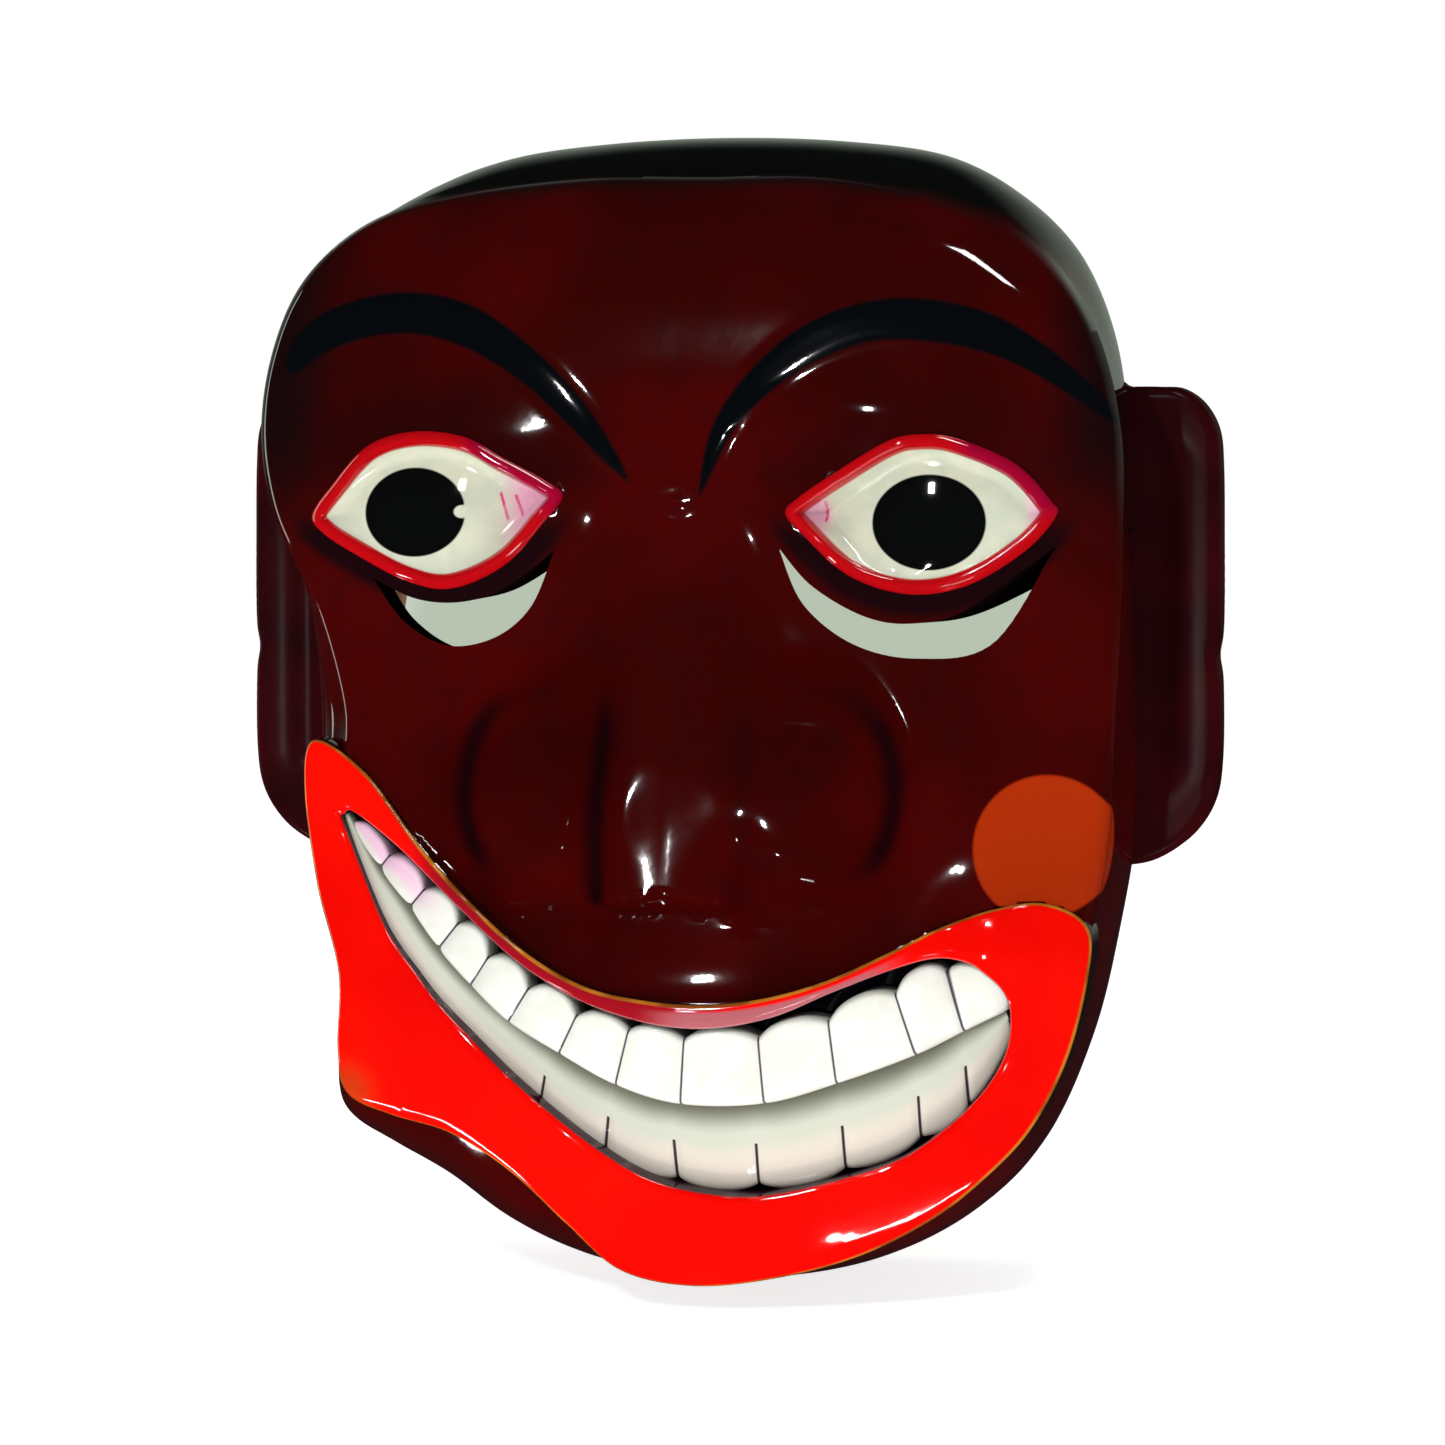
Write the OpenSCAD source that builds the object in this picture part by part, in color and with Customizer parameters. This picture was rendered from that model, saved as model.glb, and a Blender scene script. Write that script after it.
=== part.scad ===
// Carved and lacquered wooden face mask with a crooked smile.
// X is to the viewer's right, Y runs to the back, Z is up, in millimetres.
// Shapes are drawn about the middle of the back rim and then moved down by hang_z,
// so that the origin is where a nail under the hanging ring leaves the wall.

/* [Mask] */
// Height of the hanging point above the middle of the back rim
hang_z = 108; // [107:0.5:109]
// How far the face falls back from its middle to its edges, at the level of the brows
brow_fall = 9; // [8:0.5:10]
// How far the face falls back from its middle to its edges, at the level of the lips
lip_fall = 17; // [16:0.5:18]
// How far the walls swell outwards between the face's edge and the rim
wall_belly = 3.5; // [2:0.5:5]

/* [Hollow] */
// Half of the width of the hollow at the rim
hollow_half_w = 74; // [68:1:75]
// Half of the height of the hollow at the rim
hollow_half_h = 88; // [82:1:88]
// Height of the middle of the hollow
hollow_mid_z = -8; // [-10:0.5:-8]
// Depth of the hollow at its middle
hollow_d = 63; // [56:1:64]

/* [Lips and teeth] */
// Radius of the ball that the lips' front lies on
lip_ball_r = 160; // [155:1:165]
// How far the lips' front stands ahead of the rim at their middle
lip_front = 91; // [90:0.5:92]
// Height of the middle of the lips
lip_mid_z = -58; // [-60:1:-56]
// How far the upper teeth lie behind the lips' front
upper_teeth_back = 4.5; // [3.5:0.5:5]
// How far the lower teeth lie behind the lips' front
lower_teeth_back = 7; // [6:0.5:8]
// Depth of the mouth's pocket behind the lips' front
pocket_d = 14; // [12:0.5:15]

/* [Eyes] */
// Height of the eyes' middles
eye_z = 41.5; // [41:0.5:42]
// Distance of the left eye's middle from the middle plane
left_eye_x = 51; // [50:0.5:52]
// Distance of the right eye's middle from the middle plane
right_eye_x = 50.5; // [50:0.5:52]
// Turn of each eye outwards, in degrees
eye_turn = 4; // [2:1:5]
// Width of each eye from corner to corner
eye_w = 54; // [52:0.5:55]
// Height of each eye
eye_h = 32; // [30:0.5:32]
// How far the top of each eye's dome stands ahead of the rim
eye_front = 76.5; // [76:0.5:77]
// Radius of each eye's dome
eye_dome_r = 60; // [55:1:70]
// Depth of each eye's socket behind the top of the dome
socket_d = 16; // [15:0.5:17]

/* [Slits] */
// Distance of the left slit's middle from the middle plane
left_slit_x = 44.5; // [44:0.5:45]
// Distance of the right slit's middle from the middle plane
right_slit_x = 48; // [47.5:0.5:48.5]
// Width of the left viewing slit
left_slit_w = 37; // [36:1:38]
// Width of the right viewing slit
right_slit_w = 50; // [48:1:51]
// Height of the slits' lowest point
slit_low_z = 15; // [14.5:0.5:15.5]
// Height of the slits' ends
slit_end_z = 31; // [30.5:0.5:31.5]
// Height of a slit at its middle
slit_h = 7; // [6.5:0.1:7.5]

/* [Ears] */
// How far the ears' outer edges stand from the middle plane
ear_out_x = 105; // [100:1:108]
// Height of the ears' upper edge
ear_top_z = 67; // [62:1:68]
// Height of the ears' lower edge
ear_low_z = -33; // [-36:1:-30]
// Thickness of the ears
ear_t = 12; // [10:0.5:13]
// How far the ears' middle lies ahead of the rim
ear_front = 20; // [19:0.5:21]
// Distance of the ears' inner edges from the middle plane
ear_in_x = 81; // [80:0.5:82]
// Radius of the wooden pegs
peg_r = 2.5; // [2:0.1:3]

/* [Cord holes] */
// Radius of the two cord holes
cord_hole_r = 2; // [1.5:0.1:2.2]
// Height of the cord holes
cord_hole_z = 4; // [0:1:10]
// How far the cord holes lie ahead of the rim
cord_hole_front = 7; // [6.5:0.1:7.5]

/* [Hanger] */
// Depth of the pocket that holds the hanger
hanger_pocket_d = 6.5; // [6:0.1:7]
// Radius of the ring's wire
wire_r = 0.9; // [0.8:0.05:1]
// Radius of the space inside the ring
ring_in_r = 7; // [6.8:0.1:7.2]
// Width of the hanger's strap
strap_w = 8; // [7:0.5:8.5]
// Thickness of the hanger's strap
strap_t = 1; // [0.8:0.1:1.2]

/* [Hidden] */

wood = "#4a120c";
lacquer_red = "#e01808";
ivory = "#ece6cf";
steel = "#b8b8b4";

// Clearance of a glued or pegged fit, all round
glue_gap = 0.1;
// Length of the ears' pegs, and how much of it lies in the face
peg_l = 17;
peg_in = 4;
// Each station of the walls: x and z of the face's edge, then x and z of the rim.
// They run anticlockwise from the top of the head, past the left ear.
stations = [
    [[0, 111], [0, 117]], [[-25, 111], [-24, 116]], [[-50, 108], [-46, 113]],
    [[-69, 102], [-62, 106]], [[-82, 91], [-74, 95]], [[-89, 77], [-80, 79]],
    [[-92, 59], [-82, 58]], [[-89, 41], [-84, 34]], [[-80, 23], [-84, 12]],
    [[-74, 5], [-84, -8]], [[-73, -6], [-84, -20]], [[-76, -20], [-83, -34]],
    [[-73, -36], [-81, -48]], [[-69, -54], [-79, -62]], [[-70, -68], [-79, -76]],
    [[-67, -78], [-78, -86]], [[-56, -81], [-68, -93]], [[-44, -84], [-56, -100]],
    [[-32, -93], [-43, -109]], [[-19, -104], [-28, -115]], [[-4, -111], [-8, -118]],
    [[16, -111], [14, -118]], [[37, -106], [36, -113]], [[56, -96], [54, -103]],
    [[71, -81], [67, -89]], [[79, -63], [76, -68]], [[84, -43], [81, -46]],
    [[87, -20], [84, -24]], [[88, 4], [84, 4]], [[89, 32], [83, 32]],
    [[89, 56], [82, 58]], [[85, 74], [79, 77]], [[77, 88], [72, 93]],
    [[64, 100], [60, 105]], [[47, 107], [45, 113]], [[24, 111], [24, 116]]];
// Depth of the face on the middle plane, from z = -120 to z = 120 in steps of spine_step
spine = [68, 78, 84, 86, 85, 82, 79, 77, 75, 74, 74, 74.5, 74.5, 73, 69, 61, 50];
spine_low_z = -120;
spine_step = 15;

// The lips' outer edge and the mouth's edge, x and z, anticlockwise from the left corner
lip_points = [
    [-79, -6], [-81, -18], [-78, -36], [-72, -54], [-72, -70], [-70, -79], [-60, -83],
    [-46, -86], [-33, -93], [-22, -103], [-11, -113], [4, -116], [21, -114], [38, -109],
    [53, -101], [64, -92], [73, -82], [80, -68], [84, -52], [84, -41], [76, -36],
    [66, -37], [55, -41], [45, -46], [33, -51.5], [21, -55], [9, -56.5], [-3, -56],
    [-16, -53.5], [-29, -47], [-42, -37], [-54, -26], [-67, -12]];
mouth_points = [
    [-72, -22], [-67, -32], [-61, -43], [-49, -57], [-36, -69], [-23, -80], [-10, -89],
    [4, -94.5], [18, -95.5], [34, -92], [48, -87], [59, -79], [67, -69], [69, -60],
    [65, -51], [56, -48], [46, -50], [36, -54], [26, -58.5], [15, -62], [0, -62],
    [-14, -59], [-27, -53], [-41, -44], [-54, -34], [-65, -24.5]];
// The edge between the two rows of teeth, from the left corner to the right one
bite_points = [
    [-72, -22], [-60, -38], [-50, -48.5], [-40, -58], [-27, -68], [-12, -75.5], [8, -79],
    [24, -77.5], [43, -72], [56, -66], [69, -59]];

face_rings = 22;
wall_rings = 7;
hollow_rings = 8;
station_steps = 3;
// Sharpness of the turn from the face into the walls, of the hollow's floor and of its corners
wall_power = 2;
hollow_power = 4;
corner_power = 2.6;
// Fall of the hollow's floor towards the sides
hollow_fall = 0.0016;
// Extra depth of the hollow behind the nose, with its height and half its width and height
nose_room_d = 12;
nose_room_z = -12;
nose_room_half_w = 20;
nose_room_half_h = 30;

// The face falls back evenly above brow_level_z and reaches the lips' fall over level_run below it
face_half_w = 88;
brow_level_z = 10;
level_run = 60;
brow_fall_power = 4;
lip_fall_power = 2.2;
// The nose rises from its root downwards over nose_run and is undercut above nose_base_z
nose_rise = 13;
nose_half_w = 17;
nose_root_z = 48;
nose_run = 60;
nose_base_z = -44;
nose_base_run = 15;
wing_rise = 8;
wing_mid = [27, -14];
wing_half = [15, 20];
// Mounds of the eyelids and ridges of the brows
lid_rise = 4;
lid_half = [33, 24];
brow_rise = 3;
brow_half_t = 6;
left_brow_mid = [-56, 38];
left_brow_r = 47;
right_brow_mid = [47, 39];
right_brow_r = 44;
brow_end_run = 14;
brow_end_drop = 4;

// How far ahead of the rim the straight cuts start, and where those of the mouth and lips end
cut_front = 110;
mouth_cut_back = 40;
lips_cut_back = 48;
mouth_steps = 3;
// Where the slits' straight cut ends inside the hollow, and its length
slit_cut_back = 20;
slit_cut_l = 90;

// Roundings of the ears' upper and lower corners
ear_top_r = 13;
ear_low_r = 17;
// The ears' groove: its place and radius, and how far its ends stay from the ears' ends
groove_x = 93;
groove_r = 3;
groove_from_low = 22;
groove_from_top = 16;
peg_heights = [2, 32];

function wrap(list, i) = list[(i + len(list)) % len(list)];
function spline(a, b, c, d, t) =
    0.5 * (2 * b + (c - a) * t + (2 * a - 5 * b + 4 * c - d) * t * t
           + (3 * b - a - 3 * c + d) * t * t * t);
function closed_curve(points, steps) = [
    for (i = [0:len(points) - 1], k = [0:steps - 1])
        spline(wrap(points, i - 1), points[i], wrap(points, i + 1), wrap(points, i + 2),
               k / steps)];
function open_curve(points, steps) = let (last = len(points) - 1) [
    for (i = [0:last - 1], k = [0:i == last - 1 ? steps : steps - 1])
        spline(points[max(i - 1, 0)], points[i], points[i + 1], points[min(i + 2, last)],
               k / steps)];
function clamp01(v) = min(max(v, 0), 1);
function smooth01(v) = let (t = clamp01(v)) t * t * (3 - 2 * t);
function flat_top(v, power) = 1 / (1 + pow(abs(v), power));
function spine_depth(z) =
    let (u = min(max((z - spine_low_z) / spine_step, 0), len(spine) - 1.001), i = floor(u),
         last = len(spine) - 1)
    spline(spine[max(i - 1, 0)], spine[i], spine[i + 1], spine[min(i + 2, last)], u - i);
function nose_height(x, z) =
    let (under = smooth01((z - nose_base_z) / nose_base_run),
         ridge = smooth01((nose_root_z - z) / nose_run) * flat_top(x / nose_half_w, 4),
         from_wing = [abs(x), z] - wing_mid,
         wings = flat_top(norm([from_wing[0] / wing_half[0], from_wing[1] / wing_half[1]]), 4))
    under * (nose_rise * ridge + wing_rise * wings);
function lid_height(x, z) =
    let (eye_x = x < 0 ? left_eye_x : right_eye_x)
    lid_rise * flat_top(norm([(abs(x) - eye_x) / lid_half[0], (z - eye_z) / lid_half[1]]), 4);
function brow_height(x, z) =
    let (r = x < 0 ? left_brow_r : right_brow_r,
         d = [x, z] - (x < 0 ? left_brow_mid : right_brow_mid),
         ends = smooth01((d[1] + brow_end_drop) / brow_end_run))
    brow_rise * exp(-pow((norm(d) - r) / brow_half_t, 2)) * ends;
function fall(x, z) =
    let (low = smooth01((brow_level_z - z) / level_run), out = abs(x) / face_half_w)
    brow_fall * pow(out, brow_fall_power) * (1 - low) + lip_fall * pow(out, lip_fall_power) * low;
function face_depth(x, z) =
    spine_depth(z) - fall(x, z) + nose_height(x, z) + lid_height(x, z) + brow_height(x, z);
function hollow_point(rim, share) =
    let (a = atan2(rim[1] - hollow_mid_z, rim[0]),
         r = pow(pow(abs(cos(a)) / hollow_half_w, corner_power)
                 + pow(abs(sin(a)) / hollow_half_h, corner_power), -1 / corner_power),
         x = share * r * cos(a), z = hollow_mid_z + share * r * sin(a),
         from_nose = [x / nose_room_half_w, (z - nose_room_z) / nose_room_half_h],
         nose_room = nose_room_d * exp(-from_nose * from_nose),
         deep = hollow_d - hollow_fall * x * x + nose_room)
    [x, -deep * pow(1 - pow(share, hollow_power), 1 / hollow_power), z];

module carved_block() {
    edge = closed_curve([for (s = stations) s[0]], station_steps);
    rim = closed_curve([for (s = stations) s[1]], station_steps);
    n = len(edge);
    front = [
        for (k = [1:face_rings], i = [0:n - 1])
            let (p = edge[i] * k / face_rings) [p[0], -face_depth(p[0], p[1]), p[1]]];
    wall = [
        for (k = [1:wall_rings], i = [0:n - 1])
            let (back = k / wall_rings,
                 out = pow(1 - pow(1 - back, wall_power), 1 / wall_power),
                 swell = wall_belly * sin(180 * back) / norm(rim[i]),
                 p = edge[i] + (rim[i] - edge[i]) * out + rim[i] * swell)
            [p[0], -face_depth(edge[i][0], edge[i][1]) * (1 - back), p[1]]];
    hollow = [
        for (k = [0:hollow_rings - 1], i = [0:n - 1])
            hollow_point(rim[i], 1 - k / hollow_rings)];
    rings = face_rings + wall_rings + hollow_rings;
    nose_tip = [0, -face_depth(0, 0), 0];
    floor_mid = hollow_point([0, -1], 0);
    points = concat(front, wall, hollow, [nose_tip, floor_mid]);
    tip = rings * n;
    faces = concat(
        [for (i = [0:n - 1]) [tip, (i + 1) % n, i]],
        [for (k = [0:rings - 2], i = [0:n - 1])
            let (a = k * n + i, b = k * n + (i + 1) % n) each [[a, b, b + n], [a, b + n, a + n]]],
        [for (i = [0:n - 1])
            [tip + 1, (rings - 1) * n + i, (rings - 1) * n + (i + 1) % n]]);
    polyhedron(points, faces);
}

// A straight prism along Y from an outline in x and z
module prism(points, front, back) {
    translate([0, -back, 0]) rotate([90, 0, 0]) linear_extrude(front - back) polygon(points);
}

module lip_ball(behind) {
    translate([0, lip_ball_r - lip_front, lip_mid_z]) sphere(lip_ball_r - behind, $fn = 90);
}

module mouth_pocket() {
    difference() {
        prism(closed_curve(mouth_points, mouth_steps), cut_front, mouth_cut_back);
        lip_ball(pocket_d);
    }
}

module lips() {
    intersection() {
        prism(closed_curve(lip_points, mouth_steps), cut_front, lips_cut_back);
        lip_ball(0);
    }
}

// Moves a piece into an eye's own frame, with the dome's top at its origin, facing -Y
module at_eye(side) {
    eye_x = side < 0 ? -left_eye_x : right_eye_x;
    translate([eye_x, -eye_front, eye_z]) rotate([0, 0, side * eye_turn]) children();
}

// The pointed outline of an eye, as the overlap of two round bars
module eye_prism(grow, front, back) {
    w = eye_w / 2 + grow;
    h = eye_h / 2 + grow;
    r = (w * w + h * h) / (2 * h);
    intersection_for (s = [-1, 1])
        translate([0, back, s * (r - h)]) rotate([90, 0, 0])
            cylinder(r = r, h = back + front, $fn = 96);
}

module eye(side) {
    color(ivory) at_eye(side) intersection() {
        eye_prism(0, 1, socket_d - 1);
        translate([0, eye_dome_r, 0]) sphere(eye_dome_r, $fn = 90);
    }
}

// One slit, the space between a wide arc below and a flatter one above
module slit(x, w) {
    drop = slit_end_z - slit_low_z;
    r_low = (w * w / 4 + drop * drop) / (2 * drop);
    rise = drop - slit_h;
    r_high = (w * w / 4 + rise * rise) / (2 * rise);
    translate([x, -slit_cut_back, slit_end_z]) rotate([90, 0, 0]) difference() {
        translate([0, r_low - drop, 0]) cylinder(r = r_low, h = slit_cut_l, $fn = 96);
        translate([0, r_high - rise, -1]) cylinder(r = r_high, h = slit_cut_l + 2, $fn = 120);
    }
}

module ear_outline(grow) {
    top_r = ear_top_r + grow;
    low_r = ear_low_r + grow;
    out_x = ear_out_x + grow;
    in_x = ear_in_x - grow;
    top = ear_top_z + grow;
    low = ear_low_z - grow;
    intersection() {
        translate([in_x, low]) square([out_x - in_x, top - low]);
        union() {
            translate([0, low + low_r]) square([out_x, top - low - top_r - low_r]);
            translate([0, low]) square([out_x - low_r, top - low]);
            translate([out_x - top_r, top - top_r]) circle(top_r, $fn = 64);
            translate([out_x - low_r, low + low_r]) circle(low_r, $fn = 64);
        }
    }
}

module ear_slab(grow) {
    translate([0, -ear_front + ear_t / 2 + grow, 0]) rotate([90, 0, 0])
        linear_extrude(ear_t + 2 * grow) ear_outline(grow);
}

module pegs(grow) {
    for (z = peg_heights)
        translate([ear_in_x - peg_in - grow, -ear_front, z]) rotate([0, 90, 0])
            cylinder(r = peg_r + grow / 2, h = peg_l + 2 * grow, $fn = 32);
}

// The right-hand ear with its carved groove
module ear() {
    color(wood) difference() {
        ear_slab(0);
        hull() for (z = [ear_low_z + groove_from_low, ear_top_z - groove_from_top])
            translate([groove_x, -ear_front - ear_t / 2 - 0.5, z]) sphere(groove_r, $fn = 24);
        pegs(glue_gap);
    }
}

module on_left() {
    mirror([1, 0, 0]) children();
}

// The ring hangs on its straight bar, which turns in the barrel at the strap's upper end
ring_r = ring_in_r + wire_r;
bar_z = hang_z - ring_in_r;
bar_gap = 0.06;
barrel_r = wire_r + bar_gap + strap_t;
bar_y = -hanger_pocket_d + barrel_r + 0.05;
// The screw that holds the strap, below the bar, with its head, point and drive slot
screw_z = bar_z - 12;
screw_r = 1.4;
screw_l = 11;
screw_point_l = 3;
screw_head_r = 2.8;
screw_head_h = 1.5;
drive_slot_w = 0.7;
drive_slot_d = 0.7;
// Room round the hanger in its pocket, to the sides, below the screw and above the ring
pocket_half_w = 11;
pocket_below = 5;
pocket_above = 3.5;

module hanger_pocket() {
    half_w = pocket_half_w;
    low = screw_z - pocket_below;
    high = hang_z + pocket_above;
    translate([-half_w, -hanger_pocket_d, low])
        cube([2 * half_w, hanger_pocket_d + 1, high - low]);
}

module face_shell() {
    color(wood) difference() {
        union() {
            carved_block();
            lips();
        }
        mouth_pocket();
        for (side = [-1, 1]) at_eye(side) eye_prism(glue_gap, 20, socket_d);
        slit(-left_slit_x, left_slit_w);
        slit(right_slit_x, right_slit_w);
        ear_slab(glue_gap);
        on_left() ear_slab(glue_gap);
        pegs(glue_gap);
        on_left() pegs(glue_gap);
        translate([-ear_out_x, -cord_hole_front, cord_hole_z]) rotate([0, 90, 0])
            cylinder(r = cord_hole_r, h = 2 * ear_out_x, $fn = 32);
        hanger_pocket();
        translate([0, -hanger_pocket_d + 1, screw_z]) rotate([90, 0, 0])
            cylinder(r = screw_r + 0.05, h = screw_l + 1.5, $fn = 32);
    }
}

// The bite line closed by a far edge above or below it
module row_prism(far_z) {
    bite = open_curve(bite_points, mouth_steps);
    far_x = face_half_w;
    ends = [[far_x, far_z], [-far_x, far_z]];
    points = concat([[-far_x, bite[0][1]]], bite, [[far_x, bite[len(bite) - 1][1]]], ends);
    prism(points, cut_front, mouth_cut_back);
}

module teeth_row(behind, far_z) {
    intersection() {
        prism(closed_curve(mouth_points, mouth_steps), cut_front, mouth_cut_back);
        row_prism(far_z);
        difference() {
            lip_ball(behind);
            lip_ball(pocket_d - 0.01);
        }
    }
}

module upper_teeth() {
    color(ivory) teeth_row(upper_teeth_back, 0);
}

module lower_teeth() {
    color(ivory) teeth_row(lower_teeth_back, -130);
}

module hanger_strap() {
    foot_z = screw_z;
    color(steel) difference() {
        union() {
            translate([-strap_w / 2, -hanger_pocket_d, foot_z])
                cube([strap_w, strap_t, bar_z - foot_z]);
            translate([0, -hanger_pocket_d + strap_t, foot_z]) rotate([90, 0, 0])
                cylinder(r = strap_w / 2, h = strap_t, $fn = 48);
            translate([-strap_w / 2, bar_y, bar_z]) rotate([0, 90, 0])
                cylinder(r = barrel_r - 0.02, h = strap_w, $fn = 48);
        }
        translate([-strap_w, bar_y, bar_z]) rotate([0, 90, 0])
            cylinder(r = wire_r + bar_gap, h = 2 * strap_w, $fn = 48);
        translate([0, -hanger_pocket_d + 2, screw_z]) rotate([90, 0, 0])
            cylinder(r = screw_r + 0.15, h = 4, $fn = 32);
    }
}

module hanger_ring() {
    color(steel) translate([0, bar_y, bar_z]) {
        translate([-ring_r, 0, 0]) rotate([0, 90, 0])
            cylinder(r = wire_r, h = 2 * ring_r, $fn = 48);
        rotate([90, 0, 0]) rotate_extrude(angle = 180, $fn = 96)
            translate([ring_r, 0]) circle(wire_r, $fn = 32);
        for (s = [-1, 1]) translate([s * ring_r, 0, 0]) sphere(wire_r + 0.12, $fn = 32);
    }
}

module hanger_screw() {
    head_r = screw_head_r;
    head_h = screw_head_h;
    shank_l = screw_l - screw_point_l;
    plate_y = -hanger_pocket_d + strap_t;
    color(steel) translate([0, plate_y, screw_z]) rotate([90, 0, 0]) difference() {
        union() {
            translate([0, 0, -head_h])
                cylinder(r1 = head_r - 0.6, r2 = head_r, h = head_h, $fn = 48);
            translate([0, 0, -0.1]) cylinder(r = screw_r, h = shank_l + 0.1, $fn = 32);
            translate([0, 0, shank_l])
                cylinder(r1 = screw_r, r2 = 0.2, h = screw_point_l, $fn = 32);
        }
        translate([-head_r, -drive_slot_w / 2, -head_h - 0.1])
            cube([2 * head_r, drive_slot_w, drive_slot_d + 0.1]);
    }
}

module placed() {
    translate([0, 0, -hang_z]) children();
}

placed() face_shell();
placed() on_left() ear();  // ear_left
placed() ear();  // ear_right
placed() color(ivory) on_left() pegs(0);  // ear_pegs_left
placed() color(ivory) pegs(0);  // ear_pegs_right
placed() eye(-1);  // eye_left
placed() eye(1);  // eye_right
placed() upper_teeth();
placed() lower_teeth();
placed() hanger_strap();
placed() hanger_ring();
placed() hanger_screw();
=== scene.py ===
# The looks of the carved mask: lacquered wood, painted eyes, lips and teeth, steel hanger.
# Shapes are worked out in the carving frame: millimetres, X to the viewer's right, Y to the back,
# Z up from the middle of the back rim. `hang` is how far the origin lies above that middle.
import math

import bmesh
import bpy
import numpy as np
from mathutils import Matrix, Vector


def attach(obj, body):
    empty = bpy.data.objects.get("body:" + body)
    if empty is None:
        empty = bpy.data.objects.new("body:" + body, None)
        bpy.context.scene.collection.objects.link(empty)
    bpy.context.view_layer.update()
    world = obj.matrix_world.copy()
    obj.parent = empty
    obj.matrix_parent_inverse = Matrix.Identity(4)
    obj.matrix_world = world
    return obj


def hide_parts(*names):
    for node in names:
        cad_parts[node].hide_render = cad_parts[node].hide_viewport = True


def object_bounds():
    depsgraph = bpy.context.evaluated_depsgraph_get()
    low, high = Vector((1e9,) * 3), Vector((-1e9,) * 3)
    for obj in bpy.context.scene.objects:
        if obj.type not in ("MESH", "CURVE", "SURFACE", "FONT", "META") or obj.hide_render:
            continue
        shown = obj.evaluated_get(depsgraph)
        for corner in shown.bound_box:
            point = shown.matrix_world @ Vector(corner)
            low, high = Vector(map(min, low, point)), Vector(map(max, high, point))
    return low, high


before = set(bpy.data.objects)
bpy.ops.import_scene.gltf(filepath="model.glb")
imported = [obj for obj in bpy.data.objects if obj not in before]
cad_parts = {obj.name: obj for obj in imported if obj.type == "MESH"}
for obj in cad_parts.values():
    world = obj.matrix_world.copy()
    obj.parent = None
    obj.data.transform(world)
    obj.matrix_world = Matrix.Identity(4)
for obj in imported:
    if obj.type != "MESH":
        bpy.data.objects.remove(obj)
cad_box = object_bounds()
MM = 0.001
hang = 108.0

# ---------------------------------------------------------------- curves and distances


def smooth01(v):
    t = np.clip(v, 0.0, 1.0)
    return t * t * (3.0 - 2.0 * t)


def flat_top(v, power):
    return 1.0 / (1.0 + np.abs(v) ** power)


def curve(points, steps, closed=True):
    """A smooth curve through the points, with `steps` spans from each point to the next."""
    p = np.asarray(points, float)
    if closed:
        p = np.vstack([p[-1:], p, p[:2]])
    else:
        p = np.vstack([p[:1], p, p[-1:]])
    a, b, c, d = p[:-3, None], p[1:-2, None], p[2:-1, None], p[3:, None]
    t = (np.arange(steps) / steps)[None, :, None]
    q = 2 * b + (c - a) * t + (2 * a - 5 * b + 4 * c - d) * t * t + (3 * b - a - 3 * c + d) * t ** 3
    q = (0.5 * q).reshape(-1, p.shape[1])
    return q if closed else np.vstack([q, p[-1:]])


def along(points, u):
    """Points on the open smooth curve at u, which counts the given points from 0."""
    p = np.asarray(points, float)
    p = np.vstack([p[:1], p, p[-1:]])
    i = np.clip(np.floor(u).astype(int), 0, len(p) - 4)
    t = (u - i)[..., None]
    a, b, c, d = p[i], p[i + 1], p[i + 2], p[i + 3]
    q = 2 * b + (c - a) * t + (2 * a - 5 * b + 4 * c - d) * t * t + (3 * b - a - 3 * c + d) * t ** 3
    return 0.5 * q


def inside(outline, x, z):
    """Distance in millimetres to the outline's line, above 0 within it and below 0 outside."""
    a = np.asarray(outline)
    b = np.roll(a, -1, axis=0)
    best = np.full(x.shape, 1e9)
    within = np.zeros(x.shape, bool)
    for p, q in zip(a, b):
        d = q - p
        t = np.clip(((x - p[0]) * d[0] + (z - p[1]) * d[1]) / max(d @ d, 1e-9), 0, 1)
        best = np.minimum(best, np.hypot(x - p[0] - t * d[0], z - p[1] - t * d[1]))
        if p[1] != q[1]:
            crosses = (p[1] > z) != (q[1] > z)
            within ^= crosses & (x < p[0] + (z - p[1]) * d[0] / d[1])
    return np.where(within, best, -best)


# ---------------------------------------------------------------- the carving's lines, in millimetres

# Face edge and back rim, anticlockwise from the top of the head: x and z of each
walls = np.array([
    [0, 111, 0, 117], [-25, 111, -24, 116], [-50, 108, -46, 113], [-69, 102, -62, 106],
    [-82, 91, -74, 95], [-89, 77, -80, 79], [-92, 59, -82, 58], [-89, 41, -84, 34],
    [-80, 23, -84, 12], [-74, 5, -84, -8], [-73, -6, -84, -20], [-76, -20, -83, -34],
    [-73, -36, -81, -48], [-69, -54, -79, -62], [-70, -68, -79, -76], [-67, -78, -78, -86],
    [-56, -81, -68, -93], [-44, -84, -56, -100], [-32, -93, -43, -109], [-19, -104, -28, -115],
    [-4, -111, -8, -118], [16, -111, 14, -118], [37, -106, 36, -113], [56, -96, 54, -103],
    [71, -81, 67, -89], [79, -63, 76, -68], [84, -43, 81, -46], [87, -20, 84, -24],
    [88, 4, 84, 4], [89, 32, 83, 32], [89, 56, 82, 58], [85, 74, 79, 77], [77, 88, 72, 93],
    [64, 100, 60, 105], [47, 107, 45, 113], [24, 111, 24, 116]], float)
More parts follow.
